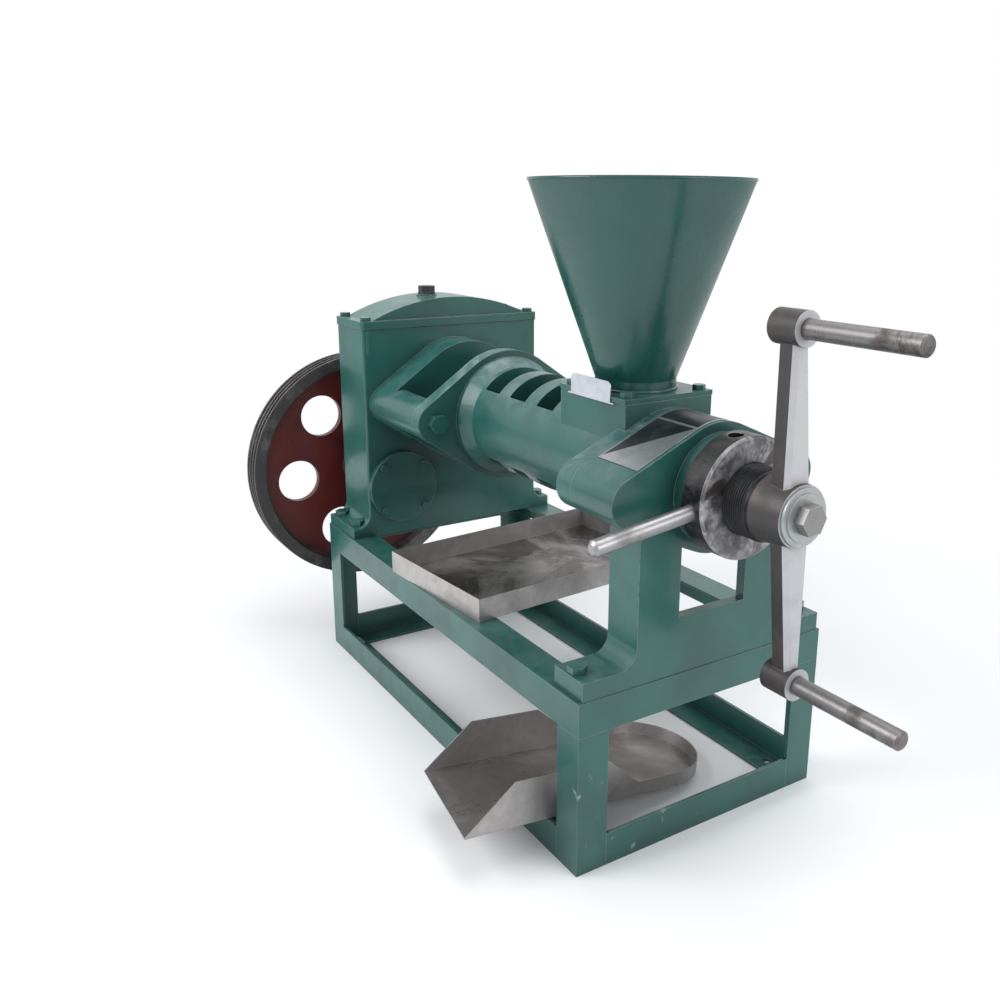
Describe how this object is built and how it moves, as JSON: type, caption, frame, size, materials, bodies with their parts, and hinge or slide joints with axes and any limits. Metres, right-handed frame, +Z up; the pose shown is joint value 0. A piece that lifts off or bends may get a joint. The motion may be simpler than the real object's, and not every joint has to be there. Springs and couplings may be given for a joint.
{
  "type": "screw oil press",
  "caption": "Screw oil press on an angle-iron frame, with gearbox, belt pulley, slotted barrel, hopper, adjusting crank, oil tray and cake chute.",
  "frame": {"origin": "centre of the base frame's footprint on the floor, which is also the centre of the anchor-hole pattern", "axes": "+X along the press axis from the gearbox to the crank, +Y towards the far side (the feed gate pulls out towards -Y), +Z up"},
  "size_m": [1.3279, 0.587, 0.925],
  "materials": {
    "green_enamel": "gloss",
    "pulley_enamel": "satin",
    "bolt_steel": "satin",
    "black_fitting": "satin",
    "gasket_rubber": "matt",
    "machined_steel": "satin",
    "gear_iron": "satin",
    "black_thread": "satin",
    "worn_iron": "worn",
    "worn_steel_bar": "worn",
    "silver_casting": "satin",
    "name_plate": "satin",
    "galvanised_sheet": "satin"
  },
  "bodies": {
    "press_frame": {"bracket_foot_bolts": "bolt_steel", "bracket_foot_nuts": "bolt_steel", "breather_plug": "black_fitting", "cap_screws": "bolt_steel", "choke_ring": "machined_steel", "cover_bolts": "bolt_steel", "cover_gasket": "gasket_rubber", "frame_bottom_end_rails": "green_enamel", "frame_bottom_side_rails": "green_enamel", "frame_legs": "green_enamel", "frame_top_end_rails": "green_enamel", "frame_top_side_rails": "green_enamel", "front_bracket": "green_enamel", "front_flange_bolts": "bolt_steel", "gearbox_cover": "green_enamel", "gearbox_foot_bolts": "bolt_steel", "gearbox_foot_nuts": "bolt_steel", "gearbox_housing": "green_enamel", "hopper_bolts": "bolt_steel", "hopper_cone": "green_enamel", "hopper_flange": "green_enamel", "input_bearings": "machined_steel", "input_cap_front": "green_enamel", "input_cap_rear": "green_enamel", "main_bearing_front": "machined_steel", "main_bearing_rear": "machined_steel", "main_cap_rear": "green_enamel", "nameplate": "name_plate", "press_barrel": "green_enamel", "press_bars": "machined_steel", "rear_flange_bolts": "bolt_steel", "shaft_seal": "gasket_rubber"},
    "input": {"input_shaft": "machined_steel", "drive_pulley": "pulley_enamel", "pulley_key": "machined_steel", "pulley_washer": "bolt_steel", "pulley_bolt": "bolt_steel"},
    "output_gear": {"hollow_shaft": "machined_steel", "main_gear": "gear_iron", "gear_key": "machined_steel"},
    "screw_carriage": {"thrust_bearing": "machined_steel"},
    "crank": {"adjusting_screw": "black_thread", "crank_casting": "silver_casting", "upper_handle_rod": "worn_steel_bar", "lower_handle_rod": "worn_steel_bar", "crank_washer": "silver_casting", "crank_bolt": "bolt_steel", "crank_key": "machined_steel"},
    "press_screw": {"screw_shaft": "machined_steel", "screw_worm": "machined_steel", "cake_cone": "machined_steel", "feather_key": "machined_steel"},
    "lock": {"lock_ring": "worn_iron", "tommy_bar": "worn_steel_bar"},
    "gate": {"feed_gate": "galvanised_sheet"},
    "tray": {"oil_tray": "galvanised_sheet"},
    "chute": {"cake_chute": "galvanised_sheet"}
  },
  "joints": [
    {"name": "pulley_spin", "type": "hinge", "parent": "press_frame", "child": "input", "pos_m": [-0.525, -0.11846, 0.35392], "axis": [1, 0, 0], "continuous": true},
    {"name": "gear_spin", "type": "hinge", "parent": "press_frame", "child": "output_gear", "pos_m": [-0.386, 0, 0.52], "axis": [1, 0, 0], "continuous": true},
    {"name": "adjust_slide", "type": "slide", "parent": "press_frame", "child": "screw_carriage", "axis": [1, 0, 0], "range_m": [-0.0081, 0.0081]},
    {"name": "crank_turn", "type": "hinge", "parent": "screw_carriage", "child": "crank", "pos_m": [0.57, 0, 0.52], "axis": [1, 0, 0], "range_deg": [-720, 720]},
    {"name": "screw_spin", "type": "hinge", "parent": "screw_carriage", "child": "press_screw", "pos_m": [0, 0, 0.52], "axis": [1, 0, 0], "continuous": true},
    {"name": "lock_turn", "type": "hinge", "parent": "press_frame", "child": "lock", "pos_m": [0.483, 0, 0.52], "axis": [1, 0, 0], "range_deg": [0, 120]},
    {"name": "gate_slide", "type": "slide", "parent": "press_frame", "child": "gate", "axis": [0, -1, 0], "range_m": [0, 0.11]},
    {"name": "tray_slide", "type": "slide", "parent": "press_frame", "child": "tray", "axis": [0.0819, -0.9966, 0], "range_m": [0, 0.2]},
    {"name": "chute_slide", "type": "slide", "parent": "press_frame", "child": "chute", "axis": [0.0397, -0.9877, 0.1513], "range_m": [0, 0.15]}
  ],
  "couplings": [
    {"joint": "gear_spin", "follows": "pulley_spin", "ratio": -0.2439},
    {"joint": "screw_spin", "follows": "pulley_spin", "ratio": -0.2439},
    {"joint": "adjust_slide", "follows": "crank_turn", "m_per_rad": 0.00063662}
  ]
}
